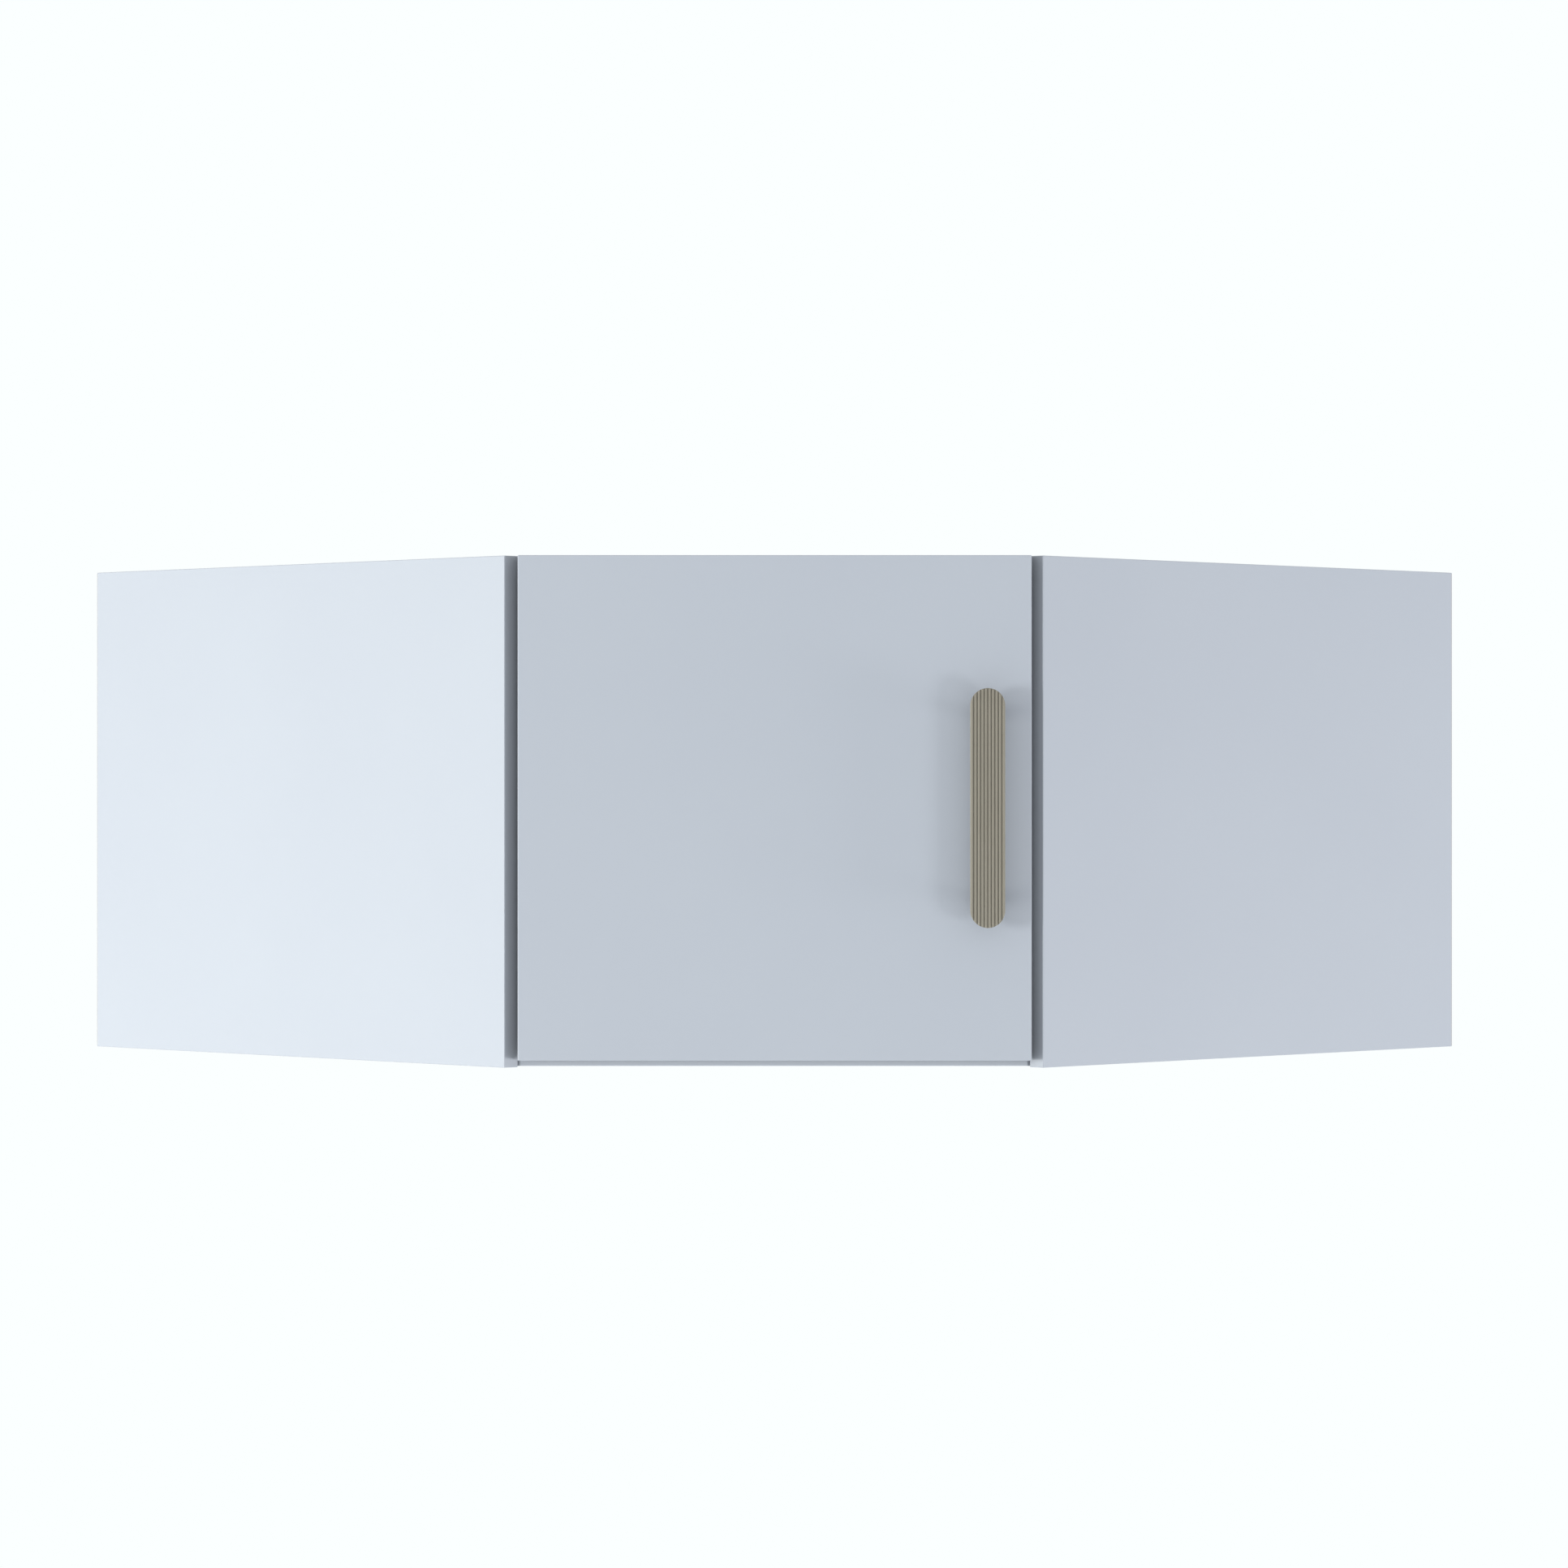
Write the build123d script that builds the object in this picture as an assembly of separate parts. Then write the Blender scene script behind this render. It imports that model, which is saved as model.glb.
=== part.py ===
from build123d import *
import math
import os

# Cabinet sizes in mm; the origin is the room corner at the level of the side panels' lower ends
wall_length = 900.0
side_depth = 569.0
height = 445.0
board = 16.0
bottom_reveal = 1.0

# Edge bands; the front bands of top and bottom stop short of the sides and leave a slot
band = 1.0
band_arris = 0.8
band_slot = 1.5
corner_ease = 4.0

# Backs in grooves, corner uprights and hanging rails
back_thickness = 3.0
back_end_gap = 0.5
groove_depth = 6.0
groove_clearance = 0.2
upright_width = 80.0
rail_height = 80.0
rail_hole_radius = 3.0
rail_hole_inset = 120.0
access_hole_radius = 5.0

# Cam fittings and dowels; fit is the play around every fixed fitting
fit = 0.05
cam_radius = 7.5
cam_depth = 12.5
cam_sink = 0.3
cam_setback = 34.0
cam_recess_length = 9.0
cam_recess_width = 1.6
cam_recess_depth = 1.8
cam_cap_radius = 8.75
cam_cap_thickness = 1.2
cam_cap_round = 0.6
bolt_bore_radius = 4.0
bolt_thread_radius = 2.5
bolt_thread_length = 11.0
bolt_shank_radius = 3.0
bolt_head_radius = 3.4
bolt_head_length = 4.0
fitting_inset = 70.0
dowel_step = 64.0
dowel_radius = 4.0
dowel_in_deck = 20.0
dowel_in_side = 10.0
dowel_chamfer = 0.8
rail_dowel_inset = 18.0
hole_bottom = 0.5

# Confirmat screws of uprights and rails
confirmat_head_radius = 5.0
confirmat_head_length = 3.5
confirmat_shank_radius = 3.5
confirmat_thread_radius = 2.5
confirmat_length = 50.0
upright_screw_steps = (32.0, 64.0)
rail_screw_inset = 160.0

# Door; its hinge edge stands inside the arris of the left side, its free edge covers the right one
door_gap = 3.0
door_inset = 0.6
door_cover = 1.0
door_bottom = 6.5

# Concealed hinges; pivots in plan from the door's hinge edge and from its back face into the cabinet
hinge_end = 100.0
pin_radius = 1.25
running_fit = 0.05
outer_arm_pivot = (31.9, 0.6)
inner_arm_pivot = (31.9, -5.0)
outer_cup_pivot = (11.26, -2.66)
inner_cup_pivot = (9.65, -7.81)
inner_eye = (8.65, -8.28)
inner_eye_travel = 1.1
inner_eye_play = 0.4
link_radius = 2.0
inner_eye_radius = 2.2
inner_link_half = 3.0
fork_near = 3.4
fork_far = 4.9
arm_near = 5.3
arm_far = 6.8
arm_radius = 2.2
arm_knee = (20.0, 22.0)
arm_lift = 12.5
arm_start = 24.0
arm_stop = 66.0
arm_screw_steps = (36.0, 58.0)
arm_screw_radius = 2.0
arm_screw_head_radius = 3.4
arm_screw_head_length = 1.5
arm_screw_reach = 9.0
plate_base = 2.0
plate_base_near = 26.0
plate_base_far = 48.0
plate_half = 24.0
plate_corner = 4.0
plate_rail_far = 68.0
plate_rail_half = 5.5
plate_screw_step = 37.0
plate_screw_spread = 16.0
plate_screw_radius = 2.5
plate_screw_reach = 11.0
plate_screw_head_radius = 4.2
plate_screw_head_length = 1.2
cup_setback = 20.5
cup_radius = 17.45
cup_bore_play = 0.05
cup_wall = 1.45
cup_floor = 12.6
cup_floor_thickness = 0.5
cup_bore_bottom = 0.1
cup_flange_radius = 19.0
cup_flange = 0.8
cup_pin_radius = 16.2
cup_boss_radius = 2.2
cup_boss_reach = 15.6
cup_screw_offset = 6.0
cup_screw_spread = 24.0
cup_ear_radius = 6.5
cup_screw_radius = 1.75
cup_screw_reach = 12.0
cup_screw_head_radius = 3.3
cup_screw_head_length = 1.2
stub_gap = 0.3

# Handle; the ribs round over at its two ends
handle_length = 207.0
handle_width = 30.0
handle_edge = 39.0
handle_core = 7.75
handle_end_round = 1.2
rib_count = 10
rib_rise = 1.25
rib_groove = 0.4
post_spacing = 160.0
post_radius = 6.0
post_length = 19.0
spigot_radius = 4.0
spigot_length = 4.0
handle_screw_radius = 2.0
handle_screw_reach = 14.0
handle_screw_head_radius = 4.0
handle_screw_head_length = 2.4
door_hole_play = 0.25

# Door bumpers
bumper_radius = 4.0
bumper_clearance = 0.3
bumper_edge = 18.0
bumper_dome = 1.0

root2 = math.sqrt(2)
inner = wall_length - board
floor_z = bottom_reveal + board
ceiling_z = height - board
front_line = inner + side_depth
core_line = front_line - band * root2
arris_x = (side_depth - inner) / root2
front_y = -front_line / root2
fitting_steps = (fitting_inset, side_depth - fitting_inset)
dowel_steps = (fitting_inset + dowel_step, side_depth - fitting_inset - dowel_step)
dowel_start = inner - dowel_in_deck
dowel_end = inner + dowel_in_side
cam_u = inner - cam_setback
thread_end = inner + bolt_thread_length
rail_low = ceiling_z - rail_height
rail_mid = ceiling_z - rail_height / 2
rail_holes = (upright_width + rail_hole_inset, inner - rail_hole_inset)
rail_screws = (upright_width + rail_screw_inset, inner - rail_screw_inset)
rail_dowels = (rail_low + rail_dowel_inset, ceiling_z - rail_dowel_inset)


def block(x0, x1, y0, y1, z0, z1):
    return Pos((x0 + x1) / 2, (y0 + y1) / 2, (z0 + z1) / 2) * Box(x1 - x0, y1 - y0, z1 - z0)


def rod(radius, start, end):
    way = Vector(*end) - Vector(*start)
    return Solid.make_cylinder(radius, way.length, Plane(origin=start, z_dir=way))


def rod_x(radius, x0, x1, y, z):
    return rod(radius, (x0, y, z), (x1, y, z))


def rod_y(radius, y0, y1, x, z):
    return rod(radius, (x, y0, z), (x, y1, z))


def rod_z(radius, z0, z1, x, y):
    return rod(radius, (x, y, z0), (x, y, z1))


# Pieces along the left wall are drawn with u along that wall and v along the right wall, then turned
def room(shape):
    return Rot(0, 0, 225) * shape


def other_side(shape):
    return mirror(shape, about=Plane.YZ)


def both(shapes):
    turned = [room(shape) for shape in shapes]
    return turned + [other_side(shape) for shape in turned]


def save(node, *shapes):
    solids = [solid for shape in shapes for solid in shape.solids()]
    export_step(Compound(solids), f"parts/{node}.step")


os.makedirs("parts", exist_ok=True)

# Cam fittings, dowels and their bores for the two decks at the left side panel
decks = {"bottom": (bottom_reveal, floor_z), "top": (ceiling_z, height)}
side_bores = []
deck_bores = {}
housings = []
bolts = []
caps = []
dowel_places = []
for deck, (low, high) in decks.items():
    middle = (low + high) / 2
    cam_top = high - cam_sink
    head_half = bolt_head_length / 2
    bores = []
    for v in fitting_steps:
        bores.append(rod_z(cam_radius + fit, high - cam_depth, high, cam_u, v))
        bores.append(rod_x(bolt_bore_radius, cam_u, inner, v, middle))
        side_bores.append(rod_x(bolt_thread_radius + fit, inner, thread_end + hole_bottom, v, middle))
        bolt = rod_x(bolt_thread_radius, inner, thread_end, v, middle)
        bolt += rod_x(bolt_shank_radius, cam_u, inner, v, middle)
        bolt += rod_x(bolt_head_radius, cam_u - head_half, cam_u + head_half, v, middle)
        bolts.append(bolt)
        housing = rod_z(cam_radius, high - cam_depth, cam_top, cam_u, v)
        housing -= rod_x(bolt_bore_radius, cam_u - bolt_head_length, inner, v, middle)
        for length, width in ((cam_recess_length, cam_recess_width), (cam_recess_width, cam_recess_length)):
            housing -= Pos(cam_u, v, cam_top - cam_recess_depth / 2) * Box(length, width, cam_recess_depth)
        housings.append(housing)
        if deck == "bottom":
            cap = rod_z(cam_cap_radius, high, high + cam_cap_thickness, cam_u, v)
            caps.append(fillet(cap.edges().sort_by(Axis.Z)[-1], cam_cap_round))
    for v in dowel_steps:
        bores.append(rod_x(dowel_radius + fit, dowel_start - hole_bottom, inner, v, middle))
        dowel_places.append((v, middle))
    deck_bores[deck] = bores
rail_bores = []
for z in rail_dowels:
    rail_bores.append(rod_x(dowel_radius + fit, dowel_start - hole_bottom, inner, board / 2, z))
    dowel_places.append((board / 2, z))
dowels = []
for v, z in dowel_places:
    side_bores.append(rod_x(dowel_radius + fit, inner, dowel_end + hole_bottom, v, z))
    dowel = rod_x(dowel_radius, dowel_start, dowel_end, v, z)
    dowels.append(chamfer(dowel.edges().filter_by(GeomType.CIRCLE), dowel_chamfer))
save("cam_housings", *both(housings))
save("cam_bolts", *both(bolts))
save("cam_caps", *both(caps))
save("carcass_dowels", *both(dowels))

# Confirmat screws: through the top into uprights and rails, through the bottom into the uprights
screws = []
screw_holes = []
screw_rows = ((height, -1, upright_screw_steps + rail_screws), (bottom_reveal, 1, upright_screw_steps))
for face, way, steps in screw_rows:
    neck = face + way * confirmat_head_length
    seam = face + way * board
    tip = face + way * confirmat_length
    for u in steps:
        screw = rod_z(confirmat_head_radius, face, neck, u, board / 2)
        screw += rod_z(confirmat_shank_radius, neck, seam, u, board / 2)
        screws.append(screw + rod_z(confirmat_thread_radius, seam, tip, u, board / 2))
        hole = rod_z(confirmat_head_radius + fit, face, neck, u, board / 2)
        hole += rod_z(confirmat_shank_radius + fit, neck, seam, u, board / 2)
        hole += rod_z(confirmat_thread_radius + fit, seam, tip + way * hole_bottom, u, board / 2)
        screw_holes.append(hole)
save("confirmat_screws", *both(screws))

# Grooves for the backs
groove_near = board - groove_clearance
groove_far = board + back_thickness + groove_clearance
groove_low = floor_z - groove_depth
groove_high = ceiling_z + groove_depth
deck_grooves = {
    "bottom": block(groove_near, inner, groove_near, groove_far, groove_low, floor_z),
    "top": block(groove_near, inner, groove_near, groove_far, ceiling_z, groove_high),
}
side_groove = block(inner, inner + groove_depth, groove_near, groove_far, groove_low, groove_high)


# Decks: pentagons between the side panels, with the front corners eased behind the band slots
def front_point(x):
    return ((core_line - x * root2) / 2, (core_line + x * root2) / 2)


band_end = -arris_x - band_slot
ease_v = core_line - inner - corner_ease
outline = [(0, 0), (inner, 0), (inner, ease_v)]
outline += [front_point(-band_end), front_point(band_end)]
outline += [(ease_v, inner), (0, inner)]
pentagon = make_face(Polyline(*outline, close=True))
for deck, (low, high) in decks.items():
    panel = room(Pos(0, 0, low) * extrude(pentagon, amount=high - low))
    panel -= both(deck_bores[deck] + screw_holes + [deck_grooves[deck]])
    save(f"{deck}_panel", panel)
    strip = block(-band_end, band_end, front_y, front_y + band, low, high)
    save(f"{deck}_edge_band", fillet(strip.faces().sort_by(Axis.Y)[0].edges(), band_arris))

# Corner uprights, hanging rails and backs
left_upright = block(0, upright_width, 0, board, floor_z, ceiling_z)
right_upright = block(board, upright_width, 0, board, floor_z, ceiling_z)
rail = block(upright_width, inner, 0, board, rail_low, ceiling_z) - rail_bores
for u in rail_holes:
    rail -= rod_y(rail_hole_radius, 0, board, u, rail_mid)
save("left_corner_upright", room(left_upright - screw_holes))
save("right_corner_upright", other_side(room(right_upright - screw_holes)))
save("left_hanging_rail", room(rail - screw_holes))
save("right_hanging_rail", other_side(room(rail - screw_holes)))
back_end = inner + groove_depth - back_end_gap
back_face = board + back_thickness
back_starts = {"left": board, "right": back_face}
for hand, start in back_starts.items():
    back = block(start, back_end, board, back_face, groove_low, groove_high - back_end_gap)
    for u in rail_holes:
        back -= rod_y(access_hole_radius, board, back_face, u, rail_mid)
    back = room(back)
    save(f"{hand}_back_panel", back if hand == "left" else other_side(back))

# Side panels and their bands on the front, upper and lower edges
side_panel = block(inner, wall_length, 0, side_depth - band, band, height - band)
side_panel = room(side_panel - side_bores - side_groove)
front_band = block(inner, wall_length, side_depth - band, side_depth, 0, height)
front_band = fillet(front_band.faces().sort_by(Axis.Y)[-1].edges(), band_arris)
upper_band = block(inner, wall_length, 0, side_depth - band, height - band, height)
upper_band = fillet(upper_band.edges().filter_by(Axis.Y).group_by(Axis.Z)[-1], band_arris)
lower_band = block(inner, wall_length, 0, side_depth - band, 0, band)
lower_band = fillet(lower_band.edges().filter_by(Axis.Y).group_by(Axis.Z)[0], band_arris)
side_bands = [room(strip) for strip in (front_band, upper_band, lower_band)]
save("right_side_panel", other_side(side_panel))
save("left_side_edge_bands", *side_bands)
save("right_side_edge_bands", *[other_side(strip) for strip in side_bands])

# Door board and bands
door_left = arris_x + door_inset
door_right = -arris_x + door_cover
door_back = front_y - door_gap
door_front = door_back - board
door = block(door_left + band, door_right - band, door_front, door_back, door_bottom + band, height - band)
door_bands = []
for low, high, end in ((door_left, door_left + band, 0), (door_right - band, door_right, -1)):
    strip = block(low, high, door_front, door_back, door_bottom, height)
    door_bands.append(fillet(strip.faces().sort_by(Axis.X)[end].edges(), band_arris))
for low, high, end in ((door_bottom, door_bottom + band, 0), (height - band, height, -1)):
    strip = block(door_left + band, door_right - band, door_front, door_back, low, high)
    door_bands.append(fillet(strip.edges().filter_by(Axis.X).group_by(Axis.Z)[end], band_arris))
save("door_edge_bands", *door_bands)

# Handle: reeded grip on two posts, screwed through the door
handle_x = door_right - handle_edge
handle_z = (door_bottom + height) / 2
grip_back = door_front - post_length
rib_root = grip_back - handle_core
rib_pitch = (handle_width + rib_groove) / rib_count
rib_width = rib_pitch - rib_groove
grip_left = handle_x - handle_width / 2
grip_right = handle_x + handle_width / 2
rim = [Line((grip_left, rib_root), (grip_left, grip_back))]
rim.append(Line((grip_left, grip_back), (grip_right, grip_back)))
rim.append(Line((grip_right, grip_back), (grip_right, rib_root)))
for rib in range(rib_count):
    start = grip_left + rib * rib_pitch
    end = start + rib_width
    rim.append(ThreePointArc((start, rib_root), ((start + end) / 2, rib_root - rib_rise), (end, rib_root)))
    if rib > 0:
        rim.append(Line((start - rib_groove, rib_root), (start, rib_root)))
reeds = Pos(0, 0, handle_z - handle_length / 2) * extrude(make_face(rim), amount=handle_length)
stadium = Plane.XZ * SlotOverall(handle_length, handle_width, rotation=90)
slab = Pos(handle_x, grip_back + fit, handle_z) * extrude(stadium, amount=handle_core + rib_rise + 2 * fit)
grip = reeds & fillet(slab.faces().sort_by(Axis.Y)[0].edges(), handle_end_round)
spigot_end = grip_back - spigot_length
screw_end = door_front - handle_screw_reach
head_end = door_back + handle_screw_head_length
posts = []
handle_screws = []
for z in (handle_z - post_spacing / 2, handle_z + post_spacing / 2):
    grip -= rod_y(spigot_radius + fit, grip_back, spigot_end - hole_bottom, handle_x, z)
    post = rod_y(post_radius, grip_back, door_front, handle_x, z)
    post += rod_y(spigot_radius, spigot_end, grip_back, handle_x, z)
    post -= rod_y(handle_screw_radius + fit, screw_end - hole_bottom, door_front, handle_x, z)
    posts.append(post)
    screw = rod_y(handle_screw_radius, screw_end, door_back, handle_x, z)
    handle_screws.append(screw + rod_y(handle_screw_head_radius, door_back, head_end, handle_x, z))
    door -= rod_y(handle_screw_radius + door_hole_play, door_front, door_back, handle_x, z)
save("handle_grip", grip)
save("handle_posts", *posts)
save("handle_screws", *handle_screws)

# Door bumpers behind the free edge, against the front edges of top and bottom
bumpers = []
bumper_end = door_back + door_gap - bumper_clearance
for z in (door_bottom + band + bumper_radius, height - board / 2):
    bumper = rod_y(bumper_radius, door_back, bumper_end, door_right - bumper_edge, z)
    bumpers.append(fillet(bumper.edges().sort_by(Axis.Y)[-1], bumper_dome))
save("door_bumpers", *bumpers)


# Hinges, drawn around the door's hinge edge and back face
def bar(start, end, radius, low, high):
    way = Vector(*end) - Vector(*start)
    turn = math.degrees(math.atan2(way.Y, way.X))
    slot = SlotCenterToCenter(way.length, 2 * radius, rotation=turn)
    return Pos((start[0] + end[0]) / 2, (start[1] + end[1]) / 2, low) * extrude(slot, amount=high - low)


def pin(centre, radius, low, high):
    return rod_z(radius, low, high, *centre)


def chord(centre, radius):
    return math.sqrt(radius ** 2 - (centre[0] - cup_setback) ** 2)


# Points of the side panel's inner face: off is the distance from the face, back the distance from its arris
def on_side(off, back):
    return ((off - back) / root2 - door_inset, (off + back) / root2 + door_gap)


# Arm: a bent channel, forked where the links turn on their pins
against_side = Pos(-door_inset, door_gap, 0) * Rot(0, 0, 45)
arm_bend = on_side(arm_lift, arm_start)
arm_tail = on_side(arm_lift, arm_stop)
arm = bar(arm_knee, arm_bend, arm_radius, -arm_far, arm_far)
arm += bar(arm_bend, arm_tail, arm_radius, -arm_far, arm_far)
for low, high in ((-arm_far, -arm_near), (arm_near, arm_far)):
    arm += bar(inner_arm_pivot, outer_arm_pivot, arm_radius, low, high)
    arm += bar(outer_arm_pivot, arm_knee, arm_radius, low, high)
arm_pins = [pin(point, pin_radius, -arm_far, arm_far) for point in (outer_arm_pivot, inner_arm_pivot)]
for point in (outer_arm_pivot, inner_arm_pivot):
    arm -= pin(point, pin_radius + fit, -arm_far, arm_far)

# Mounting plate on the side panel, with the arm's two screws and its own two
seat = arm_lift - arm_radius
plate = block(0, plate_base, plate_base_near, plate_base_far, -plate_half, plate_half)
plate = fillet(plate.edges().filter_by(Axis.X), plate_corner)
plate += block(0, seat, plate_base_near, plate_rail_far, -plate_rail_half, plate_rail_half)
arm_screws = []
arm_top = arm_lift + arm_radius
arm_screw_end = arm_top - arm_screw_reach
for step in arm_screw_steps:
    screw = rod_x(arm_screw_radius, arm_screw_end, arm_top, step, 0)
    screw += rod_x(arm_screw_head_radius, arm_top, arm_top + arm_screw_head_length, step, 0)
    arm_screws.append(against_side * screw)
    hole = rod_x(arm_screw_radius + fit, arm_screw_end - hole_bottom, arm_top, step, 0)
    plate -= hole
    arm -= against_side * hole
plate_screws = []
plate_bores = []
for z in (-plate_screw_spread, plate_screw_spread):
    screw = rod_x(plate_screw_radius, -plate_screw_reach, plate_base, plate_screw_step, z)
    plate_head = plate_base + plate_screw_head_length
    screw += rod_x(plate_screw_head_radius, plate_base, plate_head, plate_screw_step, z)
    plate_screws.append(against_side * screw)
    hole = rod_x(plate_screw_radius + fit, -plate_screw_reach - hole_bottom, plate_base, plate_screw_step, z)
    plate -= hole
    plate_bores.append(against_side * hole)
plate = against_side * plate

# Outer link: a fork round the inner one; inner link: one bar with a slotted eye on the cup's pin
outer_link = pin(outer_arm_pivot, link_radius, -fork_far, fork_far)
for low, high in ((-fork_far, -fork_near), (fork_near, fork_far)):
    outer_link += bar(outer_arm_pivot, outer_cup_pivot, link_radius, low, high)
for point in (outer_arm_pivot, outer_cup_pivot):
    outer_link -= pin(point, pin_radius + running_fit, -fork_far, fork_far)
link_way = (Vector(*inner_eye) - Vector(*inner_arm_pivot)).normalized() * inner_eye_travel
eye_near = (inner_eye[0] - link_way.X, inner_eye[1] - link_way.Y)
eye_far = (inner_eye[0] + link_way.X, inner_eye[1] + link_way.Y)
inner_link = bar(inner_arm_pivot, inner_eye, link_radius, -inner_link_half, inner_link_half)
inner_link += bar(eye_near, eye_far, inner_eye_radius, -inner_link_half, inner_link_half)
inner_link -= bar(eye_near, eye_far, pin_radius + inner_eye_play, -inner_link_half, inner_link_half)
inner_link -= pin(inner_arm_pivot, pin_radius + running_fit, -inner_link_half, inner_link_half)

# Cup with its flange and ears, the bosses for the pins, and the screws into the door
screw_x = cup_setback + cup_screw_offset
cup_end = -cup_floor - cup_floor_thickness
cup = rod_y(cup_radius, cup_end, 0, cup_setback, 0)
cup += rod_y(cup_flange_radius, 0, cup_flange, cup_setback, 0)
ear_near = screw_x - cup_ear_radius
ear_far = screw_x + cup_ear_radius
cup += block(ear_near, ear_far, 0, cup_flange, -cup_screw_spread, cup_screw_spread)
for z in (-cup_screw_spread, cup_screw_spread):
    cup += rod_y(cup_ear_radius, 0, cup_flange, screw_x, z)
cup -= rod_y(cup_radius - cup_wall, -cup_floor, cup_flange, cup_setback, 0)
boss_end = chord(outer_cup_pivot, cup_boss_reach)
stub_end = chord(outer_cup_pivot, cup_pin_radius)
through_end = chord(inner_cup_pivot, cup_pin_radius)
stub_start = inner_link_half + stub_gap
cup_pins = [pin(inner_cup_pivot, pin_radius, -through_end, through_end)]
for low, high in ((-boss_end, -arm_near), (arm_near, boss_end)):
    cup += pin(outer_cup_pivot, cup_boss_radius, low, high)
for low, high in ((-stub_end, -stub_start), (stub_start, stub_end)):
    cup_pins.append(pin(outer_cup_pivot, pin_radius, low, high))
cup -= pin(outer_cup_pivot, pin_radius + fit, -stub_end, stub_end)
cup -= pin(inner_cup_pivot, pin_radius + fit, -through_end, through_end)
cup_screws = []
cup_holes = [rod_y(cup_radius + cup_bore_play, cup_end - cup_bore_bottom, 0, cup_setback, 0)]
cup_head = cup_flange + cup_screw_head_length
for z in (-cup_screw_spread, cup_screw_spread):
    screw = rod_y(cup_screw_radius, -cup_screw_reach, cup_flange, screw_x, z)
    cup_screws.append(screw + rod_y(cup_screw_head_radius, cup_flange, cup_head, screw_x, z))
    hole = rod_y(cup_screw_radius + fit, -cup_screw_reach - hole_bottom, cup_flange, screw_x, z)
    cup -= hole
    cup_holes.append(hole)

# The two hinges, and their holes in the left side and the door
hinge_heights = {"lower": door_bottom + hinge_end, "upper": height - hinge_end}
hinges = {hinge: Pos(door_left, door_back, z) for hinge, z in hinge_heights.items()}
pieces = {"mounting_plate": plate, "arm": arm, "outer_link": outer_link, "inner_link": inner_link, "cup": cup}
for hinge, place in hinges.items():
    for piece, shape in pieces.items():
        save(f"{hinge}_hinge_{piece}", place * shape)
    side_panel -= [place * hole for hole in plate_bores]
    door -= [place * hole for hole in cup_holes]
groups = {"hinge_arm_pins": arm_pins, "hinge_arm_screws": arm_screws, "hinge_plate_screws": plate_screws}
groups.update({"hinge_cup_pins": cup_pins, "hinge_cup_screws": cup_screws})
for node, shapes in groups.items():
    save(node, *[place * shape for place in hinges.values() for shape in shapes])
save("left_side_panel", side_panel)
save("door_panel", door)
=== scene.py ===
import math
import bmesh
import bpy
from mathutils import Matrix, Vector


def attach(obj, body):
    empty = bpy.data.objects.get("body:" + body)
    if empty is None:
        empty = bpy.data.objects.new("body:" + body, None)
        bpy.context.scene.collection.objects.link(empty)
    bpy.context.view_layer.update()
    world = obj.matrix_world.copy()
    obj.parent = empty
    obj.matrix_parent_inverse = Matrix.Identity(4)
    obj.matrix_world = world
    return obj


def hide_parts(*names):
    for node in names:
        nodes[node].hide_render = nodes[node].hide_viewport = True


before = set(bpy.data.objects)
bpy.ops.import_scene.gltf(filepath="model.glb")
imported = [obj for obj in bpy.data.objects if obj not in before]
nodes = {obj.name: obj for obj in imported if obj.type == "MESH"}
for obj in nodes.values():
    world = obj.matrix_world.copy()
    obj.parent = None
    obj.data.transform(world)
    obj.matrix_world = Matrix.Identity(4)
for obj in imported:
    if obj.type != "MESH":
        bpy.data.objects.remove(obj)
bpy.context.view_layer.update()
scene = bpy.context.scene
scene.view_settings.view_transform = "Standard"
print("frame loaded with", len(nodes), "nodes")

millimetre = 0.001

# the two walls stand at 45 degrees to X and Y: directions towards them and away from them
diagonal = math.sqrt(0.5)
leftWall = (-diagonal, diagonal, 0)
rightWall = (diagonal, diagonal, 0)
awayFromLeftWall = (diagonal, -diagonal, 0)
awayFromRightWall = (-diagonal, -diagonal, 0)
below = (0, 0, -1)

# numbers of the sockets that share a name with others on their node
operandA, operandB = 0, 1  # Math and Vector Math
factor, valueA, valueB, colourA, colourB = 0, 2, 3, 6, 7  # Mix
mixedValue, mixedColour = 0, 2  # what Mix gives
shaderA, shaderB = 1, 2  # Mix Shader, whose factor is number 0 too


# sRGB hex to the linear values that shaders and lamps take
def linear(hexColour):
    channels = [int(hexColour[i:i + 2], 16) / 255 for i in (1, 3, 5)]
    return [c / 12.92 if c <= 0.04045 else ((c + 0.055) / 1.055) ** 2.4 for c in channels] + [1.0]


# a pattern's scale on coordinates in metres, from its real size in millimetres
def patternScale(size):
    return 1 / (size * millimetre)


# adds a node and gives back its outputs; another node's output given as an input is linked, all else is set
def addNode(tree, kind, inputs, **settings):
    node = tree.nodes.new("ShaderNode" + kind)
    for name, value in settings.items():
        setattr(node, name, value)
    for name, value in inputs.items():
        if isinstance(value, bpy.types.NodeSocket):
            tree.links.new(value, node.inputs[name])
        else:
            node.inputs[name].default_value = value
    return node.outputs


def startMaterial(name):
    material = bpy.data.materials.new(name)
    material.use_nodes = True
    tree = material.node_tree
    tree.nodes.clear()
    return material, tree, addNode(tree, "TexCoord", {})["Object"]


def finishMaterial(tree, shaderInputs):
    shader = addNode(tree, "BsdfPrincipled", shaderInputs)
    addNode(tree, "OutputMaterial", {"Surface": shader["BSDF"]})


def dress(material, *nodeNames):
    for name in nodeNames:
        mesh = nodes[name].data
        mesh.materials.clear()
        mesh.materials.append(material)


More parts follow.
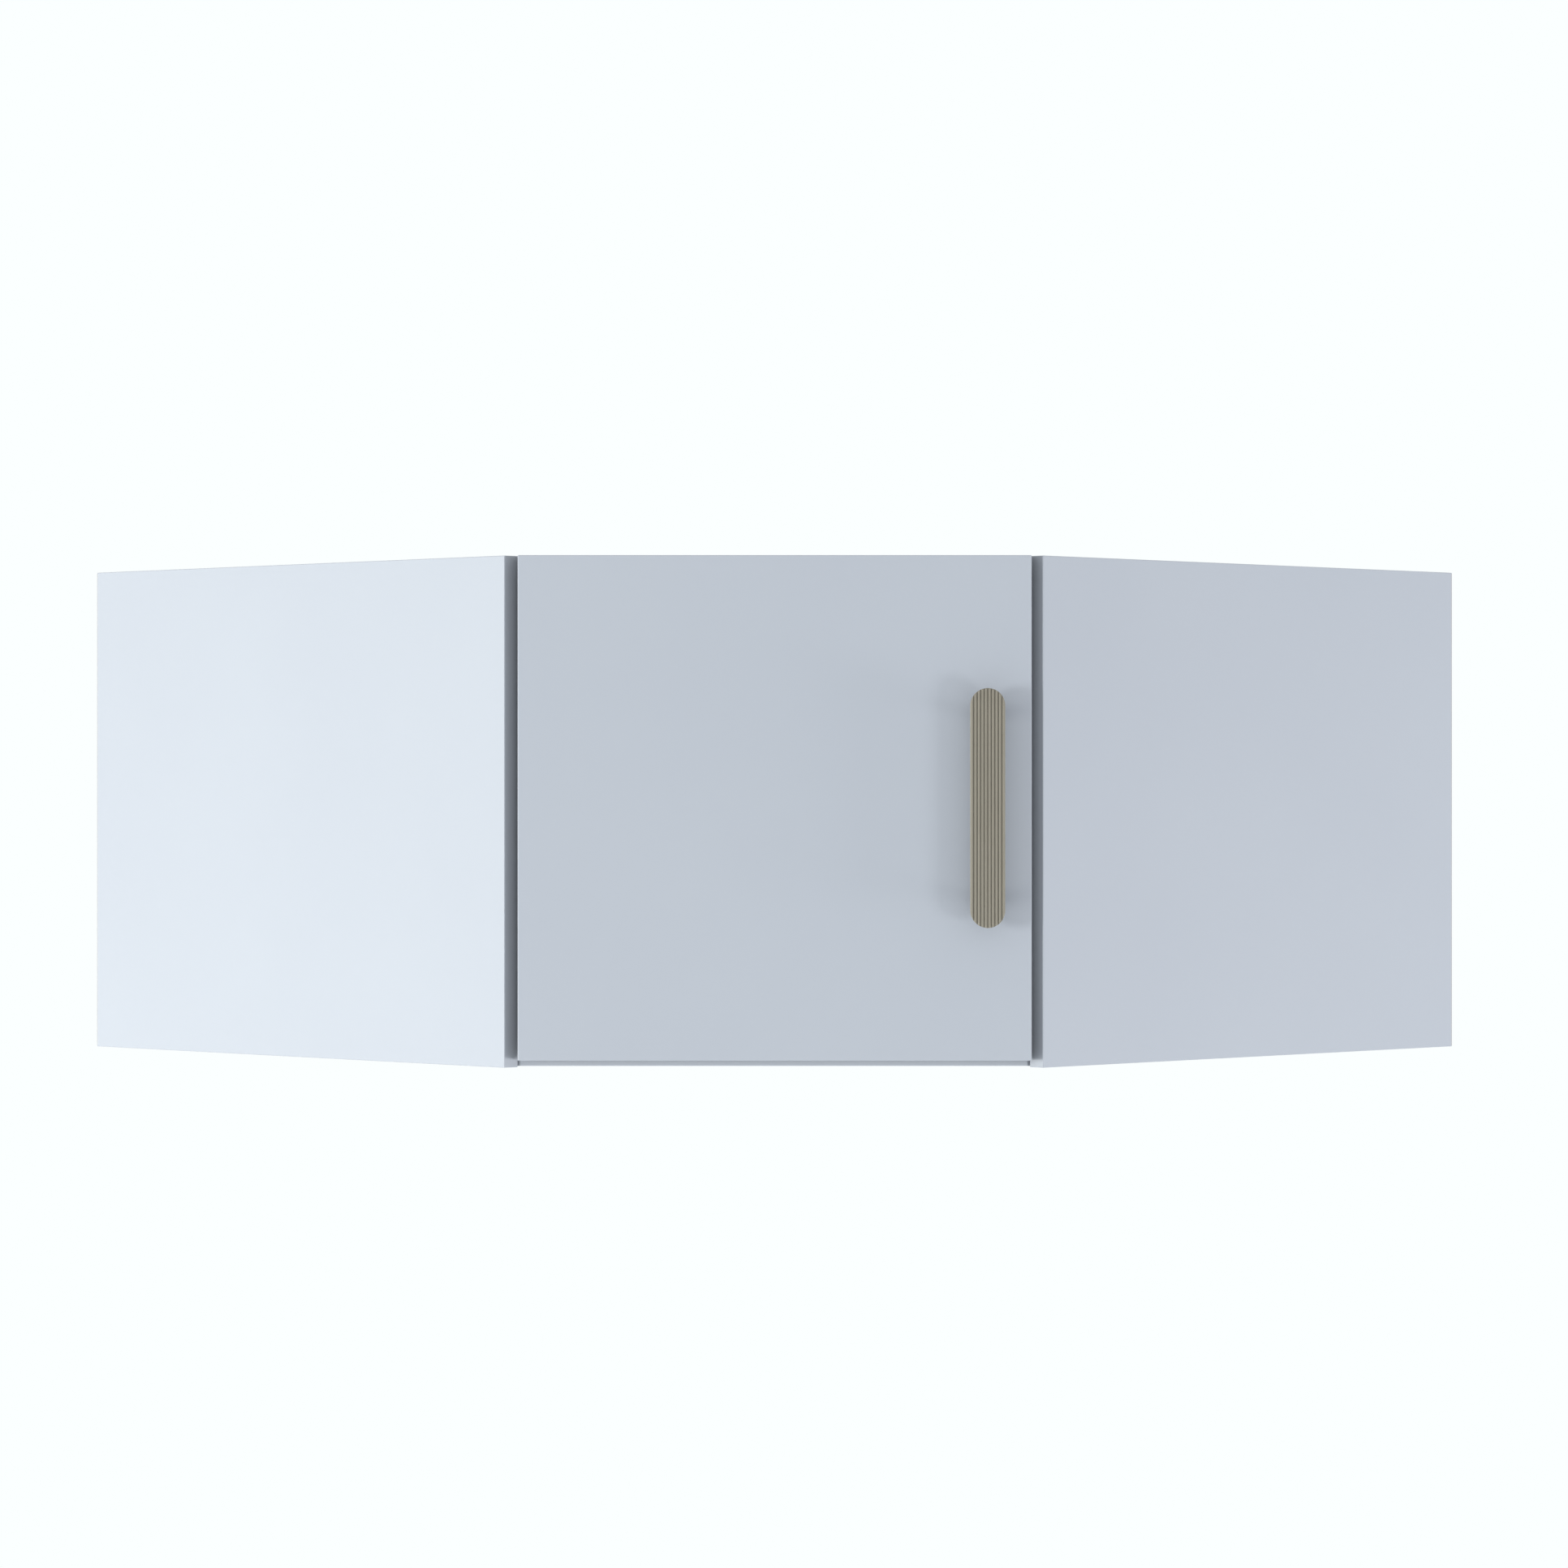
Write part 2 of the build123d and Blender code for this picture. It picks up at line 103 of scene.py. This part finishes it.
# painted shade: bounce light sees only a share of the colour, so reveals, gaps and grooves come out darker
def paintGapShade(tree, colour, share):
    onward = addNode(tree, "LightPath", {})["Is Diffuse Ray"]
    less = {factor: 1.0, colourA: colour, colourB: (share, share, share, 1)}
    dimmed = addNode(tree, "Mix", less, data_type="RGBA", blend_type="MULTIPLY")[mixedColour]
    either = {factor: onward, colourA: colour, colourB: dimmed}
    return addNode(tree, "Mix", either, data_type="RGBA")[mixedColour]


# In each finish below, cloud is the width of its drifts of tone, grain that of its gloss and surface, and
# bump the height of its surface, all in millimetres; drift is how far its roughness wanders either way,
# gapShadeShare the share of its colour that bounce light sees, painting shade into gaps, and fixed what is
# the same all over
usualDrift = 0.06
skinStrength = 0.4


def mottle(tree, coords, finish):
    cloud = addNode(tree, "TexNoise", {"Vector": coords, "Scale": patternScale(finish["cloud"])})["Fac"]
    grain = addNode(tree, "TexNoise", {"Vector": coords, "Scale": patternScale(finish["grain"])})["Fac"]
    tones = {factor: cloud, colourA: linear(finish["pale"]), colourB: linear(finish["dark"])}
    drift = finish.get("drift", usualDrift)
    gloss = {"Value": grain, "To Min": finish["roughness"] - drift, "To Max": finish["roughness"] + drift}
    relief = {"Height": grain, "Strength": skinStrength, "Distance": finish["bump"] * millimetre}
    return {
        "Base Color": addNode(tree, "Mix", tones, data_type="RGBA")[mixedColour],
        "Roughness": addNode(tree, "MapRange", gloss)["Result"],
        "Normal": addNode(tree, "Bump", relief)["Normal"],
    }


def mottledFinish(name, finish):
    material, tree, coords = startMaterial(name)
    skin = mottle(tree, coords, finish)
    if "gapShadeShare" in finish:
        skin["Base Color"] = paintGapShade(tree, skin["Base Color"], finish["gapShadeShare"])
    finishMaterial(tree, {**skin, **finish.get("fixed", {})})
    return material


outerDepth = 0.2 * millimetre  # how far behind a node's outermost point its outer faces may lie


# 1 on the faces of a node that lie furthest out in one of the given directions, 0 elsewhere
def outerFaces(tree, coords, nodeName, directions):
    found = 0.0
    for direction in directions:
        furthest = max(vertex.co.dot(Vector(direction)) for vertex in nodes[nodeName].data.vertices)
        reach = {operandA: coords, operandB: direction}
        along = addNode(tree, "VectorMath", reach, operation="DOT_PRODUCT")["Value"]
        limit = {operandA: along, operandB: furthest - outerDepth}
        here = addNode(tree, "Math", limit, operation="GREATER_THAN")["Value"]
        found = addNode(tree, "Math", {operandA: found, operandB: here}, operation="MAXIMUM")["Value"]
    return found


# Melamine-faced chipboard, pressed between steel plates: even cool white, satin, with a faint pearl.
# The real pearl of about 0.4 mm is drawn at 2.5 mm so that it shows
melamine = dict(pale="#DDE0E5", dark="#D9DCE2", cloud=180.0, grain=2.5, roughness=0.44, bump=0.03,
                fixed={"Specular IOR Level": 0.25})
# The carcass boards are a little more even in their gloss than the door
boards = dict(melamine, drift=0.05)
# Chipboard core where an edge has no band: pressed wood chips, dull, with open pores
chips = dict(pale="#C8A679", dark="#8C6C47", flake=2.2, pore=0.7, roughness=0.9, bump=0.4, strength=0.7)
bareEdges = {
    "top_panel": (leftWall, rightWall), "bottom_panel": (leftWall, rightWall),
    "left_side_panel": (leftWall,), "right_side_panel": (rightWall,),
    "left_hanging_rail": (below,), "right_hanging_rail": (below,),
    "left_corner_upright": (awayFromRightWall,), "right_corner_upright": (awayFromLeftWall,),
}


def boardFinish(nodeName, bareDirections):
    material, tree, coords = startMaterial("melamineBoard_" + nodeName)
    skin = mottle(tree, coords, boards)
    bare = outerFaces(tree, coords, nodeName, bareDirections)
    flake = addNode(tree, "TexVoronoi", {"Vector": coords, "Scale": patternScale(chips["flake"])})["Color"]
    tone = addNode(tree, "SeparateColor", {"Color": flake})["Red"]
    tones = {factor: tone, colourA: linear(chips["pale"]), colourB: linear(chips["dark"])}
    wood = addNode(tree, "Mix", tones, data_type="RGBA")[mixedColour]
    pores = addNode(tree, "TexNoise", {"Vector": coords, "Scale": patternScale(chips["pore"])})["Fac"]
    depth = addNode(tree, "Math", {operandA: bare, operandB: pores}, operation="MULTIPLY")["Value"]
    crumb = {"Height": depth, "Strength": chips["strength"], "Distance": chips["bump"] * millimetre}
    face = {factor: bare, colourA: skin["Base Color"], colourB: wood}
    gloss = {factor: bare, valueA: skin["Roughness"], valueB: chips["roughness"]}
    finishMaterial(tree, {
        "Base Color": addNode(tree, "Mix", face, data_type="RGBA")[mixedColour],
        "Roughness": addNode(tree, "Mix", gloss)[mixedValue],
        "Normal": addNode(tree, "Bump", {**crumb, "Normal": skin["Normal"]})["Normal"],
        **boards["fixed"],
    })
    return material


for nodeName, directions in bareEdges.items():
    dress(boardFinish(nodeName, directions), nodeName)
dress(mottledFinish("melamineDoor", melamine), "door_panel")

# Edge band of ABS, 1 mm, glued on and rounded by a scraper: the board's white, a little smoother
# painted shade: bounce light sees only a fifth of the band's white, so the reveals beside the door come out
# darker
edgeBand = dict(pale="#DDE0E5", dark="#D9DCE2", cloud=120.0, grain=9.0, roughness=0.4, bump=0.02,
                gapShadeShare=0.2, fixed={"Specular IOR Level": 0.3})
dress(mottledFinish("absEdgeBand", edgeBand), *[name for name in nodes if "edge_band" in name])

# Hardboard backs: white lacquer towards the inside, bare fibre with a screen's print towards the wall
hardboard = dict(lacquer="#D9DFE7", fibre="#8E6A44", fibreDark="#75553A", fibreLength=5.0, fibreDetail=6.0,
                 screen=1.6, roughness=0.5, fibreRoughness=0.85, bump=0.3, strength=0.5)


def hardboardFinish(nodeName, wall):
    material, tree, coords = startMaterial("hardboard_" + nodeName)
    bare = outerFaces(tree, coords, nodeName, (wall,))
    felt = {"Scale": patternScale(hardboard["fibreLength"]), "Detail": hardboard["fibreDetail"]}
    fibre = addNode(tree, "TexNoise", {"Vector": coords, **felt})["Fac"]
    tones = {factor: fibre, colourA: linear(hardboard["fibreDark"]), colourB: linear(hardboard["fibre"])}
    brown = addNode(tree, "Mix", tones, data_type="RGBA")[mixedColour]
    wires = {"Vector": coords, "Scale": patternScale(hardboard["screen"])}
    screen = addNode(tree, "TexVoronoi", wires)["Distance"]
    depth = addNode(tree, "Math", {operandA: bare, operandB: screen}, operation="MULTIPLY")["Value"]
    height = hardboard["bump"] * millimetre
    relief = {"Height": depth, "Strength": hardboard["strength"], "Distance": height}
    face = {factor: bare, colourA: linear(hardboard["lacquer"]), colourB: brown}
    gloss = {factor: bare, valueA: hardboard["roughness"], valueB: hardboard["fibreRoughness"]}
    finishMaterial(tree, {
        "Base Color": addNode(tree, "Mix", face, data_type="RGBA")[mixedColour],
        "Roughness": addNode(tree, "Mix", gloss)[mixedValue],
        "Normal": addNode(tree, "Bump", relief)["Normal"],
    })
    return material


dress(hardboardFinish("left_back_panel", leftWall), "left_back_panel")
dress(hardboardFinish("right_back_panel", rightWall), "right_back_panel")
print("boards, bands and backs dressed")

# Metals, plated, ground or cast: bright skins whose gloss and tone wander a little, the casting duller
metal = {"Metallic": 1.0}
metalFinishes = {
    "nickelPlatedSteel": dict(
        pale="#C9C7C1", dark="#B4B2AB", cloud=14.0, grain=0.9, roughness=0.3, bump=0.04),
    "groundSteel": dict(
        pale="#B9BABB", dark="#A3A4A6", cloud=6.0, grain=0.6, roughness=0.24, bump=0.02),
    "zincPlatedSteel": dict(
        pale="#C3C6C8", dark="#A9ADB1", cloud=5.0, grain=0.8, roughness=0.33, bump=0.03),
    "zincDieCasting": dict(
        pale="#A9ABAD", dark="#8B8E91", cloud=4.0, grain=0.7, roughness=0.48, bump=0.08),
}
metals = {name: mottledFinish(name, dict(finish, fixed=metal)) for name, finish in metalFinishes.items()}
hingePieces = [name for name in nodes if name.startswith(("lower_hinge_", "upper_hinge_"))]
dress(metals["nickelPlatedSteel"], *hingePieces)
dress(metals["groundSteel"], "hinge_arm_pins", "hinge_cup_pins")
dress(metals["zincPlatedSteel"], "cam_bolts")
dress(metals["zincDieCasting"], "cam_housings")

# Greige lacquer sprayed on the metal handle: satin, with a fine even orange peel
# painted shade: bounce light sees only a twentieth of the lacquer's colour, so its grooves and the door
# beside it come out darker
lacquer = dict(pale="#ABA28F", dark="#9F9683", cloud=25.0, grain=1.2, roughness=0.42, bump=0.03,
               gapShadeShare=0.05)
dress(mottledFinish("greigeLacquer", lacquer), "handle_grip", "handle_posts")

# Beech dowels, turned along the grain and left bare: warm and dull
beech = dict(pale="#D3AE7F", dark="#B98E5E", cloud=6.0, grain=1.4, roughness=0.7, bump=0.1)
dress(mottledFinish("beechDowel", beech), "carcass_dowels")

# Polyethylene caps, moulded: nearly the boards' white, a little waxy
polyethylene = dict(pale="#DCE1E8", dark="#D5DBE3", cloud=9.0, grain=3.0, roughness=0.5, bump=0.04)
dress(mottledFinish("mouldedPolyethylene", polyethylene), "cam_caps")

# Soft clear vinyl bumpers, cast in drops: smooth and half see-through
clearVinyl = dict(pale="#E4E8EA", dark="#D6DCDF", cloud=5.0, grain=2.0, roughness=0.25, bump=0.02,
                  fixed={"Transmission Weight": 0.7})
dress(mottledFinish("clearVinyl", clearVinyl), "door_bumpers")
print("fittings dressed")

# Screws with a pan or flat head, a driver recess and a ridged shank, whose rings stand for the thread.
# In millimetres: head and rise are the head's radius and height, crown is the drop of its rim, and wide
# and blade are the recess's two widths
screws = {
    "hinge_cup_screws": dict(
        axis=(0, 1, 0), body="door", head=3.3, rise=1.2, crown=0.35, shank=1.75, pitch=1.2,
        drive="cross", wide=3.4, blade=0.9, deep=0.9),
    "handle_screws": dict(
        axis=(0, 1, 0), body="door", head=4.0, rise=2.4, crown=0.9, shank=2.0, pitch=0.7,
        drive="cross", wide=4.4, blade=1.1, deep=1.5),
    "hinge_plate_screws": dict(
        axis=rightWall, body="carcass", head=4.2, rise=1.2, crown=0.4, shank=2.5, pitch=1.6,
        drive="cross", wide=4.4, blade=1.1, deep=1.0),
    "hinge_arm_screws": dict(
        axis=rightWall, body="carcass", head=3.4, rise=1.5, crown=0.4, shank=2.0, pitch=0.7,
        drive="cross", wide=4.0, blade=1.0, deep=1.1),
    "confirmat_screws": dict(
        axis=(0, 0, 1), body="carcass", head=5.0, rise=3.5, crown=0.15, shank=2.5, pitch=3.0,
        drive="hexagon", wide=4.6, blade=0.0, deep=2.4),
}
headCurve = ((0, 0), (0.45, 0.08), (0.8, 0.5), (1, 1.2))  # middle to rim, in shares of head and crown
thread = dict(root=0.78, flank=0.3, valley=0.6)  # in shares of shank, pitch and pitch
tip = dict(start=2.0, shoulder=0.6, width=0.7)  # in shares of shank, from the screw's end
crossTaper = 0.6  # width of the cross at its lower end
turnSteps = 40
nodeWeld = 1e-6
screwWeld = 1e-7


# where a node's screws sit: a matrix at the middle of each head, with Z pointing out, and their length
def screwSeats(nodeName, axis):
    mesh = bmesh.new()
    mesh.from_mesh(nodes[nodeName].data)
    bmesh.ops.remove_doubles(mesh, verts=mesh.verts, dist=nodeWeld)
    along = Vector(axis)
    across = along.orthogonal().normalized()
    axes = (across, along.cross(across), along)
    seats = []
    for start in mesh.verts:
        if start.tag:
            continue
        start.tag = True
        solid = [start]
        for vertex in solid:
            near = [edge.other_vert(vertex) for edge in vertex.link_edges]
            for other in near:
                if not other.tag:
                    other.tag = True
                    solid.append(other)
        ends = [(min(v.co.dot(a) for v in solid), max(v.co.dot(a) for v in solid)) for a in axes]
        middle = [sum(pair) / 2 for pair in ends]
        centre = axes[0] * middle[0] + axes[1] * middle[1]
        widest = max(solid, key=lambda v: (v.co - centre - along * v.co.dot(along)).length)
        out = along if widest.co.dot(along) > middle[2] else -along
        seat = out.to_track_quat("Z", "Y").to_matrix().to_4x4()
        seat.translation = centre + out * max(v.co.dot(out) for v in solid)
        seats.append(seat)
        length = ends[2][1] - ends[2][0]
    mesh.free()
    return seats, length


# one screw with its head's top at z = 0, turned from its outline
def turnScrew(screw, length):
    lengths = [screw[key] * millimetre for key in ("shank", "head", "rise", "crown", "pitch")]
    shank, head, rise, crown, pitch = lengths
    outline = [(radius * head, -drop * crown) for radius, drop in headCurve]
    outline += [(head, -rise), (shank, -rise)]
    root = thread["root"] * shank
    depth = -rise - pitch
    while depth - pitch > tip["start"] * shank - length:
        valley = [(root, depth - thread["flank"] * pitch), (root, depth - thread["valley"] * pitch)]
        outline += [(shank, depth), *valley]
        depth -= pitch
    outline += [(shank, depth), (tip["width"] * shank, tip["shoulder"] * shank - length), (0, -length)]
    mesh = bmesh.new()
    rim = [mesh.verts.new((radius, 0, z)) for radius, z in outline]
    lines = [mesh.edges.new(pair) for pair in zip(rim, rim[1:])]
    bmesh.ops.spin(mesh, geom=rim + lines, cent=(0, 0, 0), axis=(0, 0, 1), angle=2 * math.pi,
                   steps=turnSteps, use_merge=True)
    bmesh.ops.remove_doubles(mesh, verts=mesh.verts, dist=screwWeld)
    bmesh.ops.recalc_face_normals(mesh, faces=mesh.faces)
    return mesh


# the driver that leaves the recess: a straight hexagon, or a cross that tapers downwards
def driverTip(screw):
    wide, blade, deep = (screw[key] * millimetre for key in ("wide", "blade", "deep"))
    reach, half = wide / 2, blade / 2
    mesh = bmesh.new()
    if screw["drive"] == "hexagon":
        bmesh.ops.create_cone(mesh, cap_ends=True, segments=6, radius1=reach, radius2=reach, depth=2 * deep)
        return mesh
    corners = [(reach, -half), (reach, half), (half, half)]
    quarters = [Matrix.Rotation(turn * math.pi / 2, 4, "Z") for turn in range(4)]
    points = [quarter @ Vector((x, y, deep)) for quarter in quarters for x, y in corners]
    cross = mesh.faces.new([mesh.verts.new(point) for point in points])
    lower = bmesh.ops.extrude_face_region(mesh, geom=[cross])["geom"]
    lower = [item for item in lower if isinstance(item, bmesh.types.BMVert)]
    bmesh.ops.translate(mesh, vec=(0, 0, -2 * deep), verts=lower)
    bmesh.ops.scale(mesh, vec=(crossTaper, crossTaper, 1), verts=lower)
    bmesh.ops.recalc_face_normals(mesh, faces=mesh.faces)
    return mesh


def asObject(name, shape):
    mesh = bpy.data.meshes.new(name)
    shape.to_mesh(mesh)
    shape.free()
    item = bpy.data.objects.new(name, mesh)
    scene.collection.objects.link(item)
    return item


for nodeName, screw in screws.items():
    seats, length = screwSeats(nodeName, screw["axis"])
    blank = asObject("blank", turnScrew(screw, length))
    driver = asObject("driver", driverTip(screw))
    recess = blank.modifiers.new("recess", "BOOLEAN")
    recess.operation = "DIFFERENCE"
    recess.object = driver
    cut = bpy.data.meshes.new_from_object(blank.evaluated_get(bpy.context.evaluated_depsgraph_get()))
    bpy.data.objects.remove(blank)
    bpy.data.objects.remove(driver)
    group = bmesh.new()
    for seat in seats:
        cut.transform(seat)
        group.from_mesh(cut)
        cut.transform(seat.inverted())
    piece = asObject(nodeName.replace("_screws", "_screw_set"), group)
    piece.data.materials.append(metals["zincPlatedSteel"])
    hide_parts(nodeName)
    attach(piece, screw["body"])
    print(nodeName, len(seats), "screws of", len(cut.polygons), "faces")

# Camera: level, square on to the door, as far off as the photo's perspective asks
photo = dict(lens=130.0, sensor=36.0, place=(0.0089, -5.957, 0.2465))
camera = bpy.data.objects.new("camera", bpy.data.cameras.new("camera"))
camera.data.lens = photo["lens"]
camera.data.sensor_width = photo["sensor"]
camera.data.dof.use_dof = False
camera.location = photo["place"]
camera.rotation_euler = (math.radians(90), 0, 0)
scene.collection.objects.link(camera)
scene.camera = camera

# Light: a pale surround from all sides, a broad key lamp far to the left that grazes the door, one further
# to the front that the handle shades the door from, and two low ones on the right, weaker than the key
surround = dict(colour="#F0F7FF", level=0.495, backdrop="#FBFFFF")
target = (0.0, -1.0, 0.2)
lamps = {
    "keyLamp": dict(place=(-4.3, -1.8, -0.4), span=2.0, power=69.5, colour="#FCFFFC"),
    "leftFrontLamp": dict(place=(-3.2, -3.7, 0.1), span=0.9, power=38.0, colour="#F5FBFF"),
    "rightFrontLamp": dict(place=(3.0, -3.5, -0.85), span=0.9, power=18.0, colour="#F5FAFF"),
    "rightLamp": dict(place=(4.3, -1.7, -0.75), span=1.2, power=38.0, colour="#F8FAFF"),
}


# 1 where the camera, a mirror or clear plastic shows a surface, 0 where its light falls on other surfaces
def seenDirectly(tree):
    ray = addNode(tree, "LightPath", {})
    seen = ray["Is Camera Ray"]
    for kind in ("Is Glossy Ray", "Is Transmission Ray"):
        seen = addNode(tree, "Math", {operandA: seen, operandB: ray[kind]}, operation="MAXIMUM")["Value"]
    return seen


world = bpy.data.worlds.new("surround")
scene.world = world
world.use_nodes = True
tree = world.node_tree
tree.nodes.clear()
around = addNode(tree, "Background", {"Color": linear(surround["colour"]), "Strength": surround["level"]})
plain = addNode(tree, "Background", {"Color": linear(surround["backdrop"]), "Strength": 1.0})
sides = {factor: seenDirectly(tree), shaderA: around["Background"], shaderB: plain["Background"]}
addNode(tree, "OutputWorld", {"Surface": addNode(tree, "MixShader", sides)["Shader"]})
for name, settings in lamps.items():
    lamp = bpy.data.objects.new(name, bpy.data.lights.new(name, "AREA"))
    lamp.data.shape = "SQUARE"
    lamp.data.size = settings["span"]
    lamp.data.energy = settings["power"]
    lamp.data.color = linear(settings["colour"])[:3]
    lamp.visible_camera = False
    lamp.location = settings["place"]
    lamp.rotation_euler = (Vector(target) - lamp.location).to_track_quat("-Z", "Y").to_euler()
    scene.collection.objects.link(lamp)

# Floor well below the hung cabinet, out of the photo's frame; towards its rim it fades into the backdrop,
# and from below it is clear, so that the underside can be seen. veil is how far it fades in its middle
ground = dict(pale="#F4F6F8", dark="#EFF2F5", mottle=400.0, roughness=0.6, middle=(0.0, -0.6, -0.95),
              radius=2.6, segments=96, fadeStart=1.2, fadeEnd=2.5, veil=0.55)
shape = bmesh.new()
bmesh.ops.create_circle(shape, cap_ends=True, segments=ground["segments"], radius=ground["radius"])
bmesh.ops.translate(shape, vec=ground["middle"], verts=shape.verts)
floor = asObject("floor", shape)
material, tree, coords = startMaterial("paleFloor")
drift = addNode(tree, "TexNoise", {"Vector": coords, "Scale": patternScale(ground["mottle"])})["Fac"]
tones = {factor: drift, colourA: linear(ground["pale"]), colourB: linear(ground["dark"])}
pale = addNode(tree, "Mix", tones, data_type="RGBA")[mixedColour]
matt = addNode(tree, "BsdfPrincipled", {"Base Color": pale, "Roughness": ground["roughness"]})
spread = {operandA: coords, operandB: ground["middle"]}
away = addNode(tree, "VectorMath", spread, operation="DISTANCE")["Value"]
reach = {"From Min": ground["fadeStart"], "From Max": ground["fadeEnd"], "To Min": ground["veil"]}
fade = addNode(tree, "MapRange", {"Value": away, **reach}, interpolation_type="SMOOTHSTEP")["Result"]
shown = {operandA: seenDirectly(tree), operandB: fade}
share = addNode(tree, "Math", shown, operation="MULTIPLY")["Value"]
glow = addNode(tree, "Emission", {"Color": linear(surround["backdrop"]), "Strength": 1.0})
upper = addNode(tree, "MixShader", {factor: share, shaderA: matt["BSDF"], shaderB: glow["Emission"]})
under = addNode(tree, "NewGeometry", {})["Backfacing"]
clear = addNode(tree, "BsdfTransparent", {})["BSDF"]
oneSided = addNode(tree, "MixShader", {factor: under, shaderA: upper["Shader"], shaderB: clear})
addNode(tree, "OutputMaterial", {"Surface": oneSided["Shader"]})
floor.data.materials.append(material)
print("camera, light and floor set")
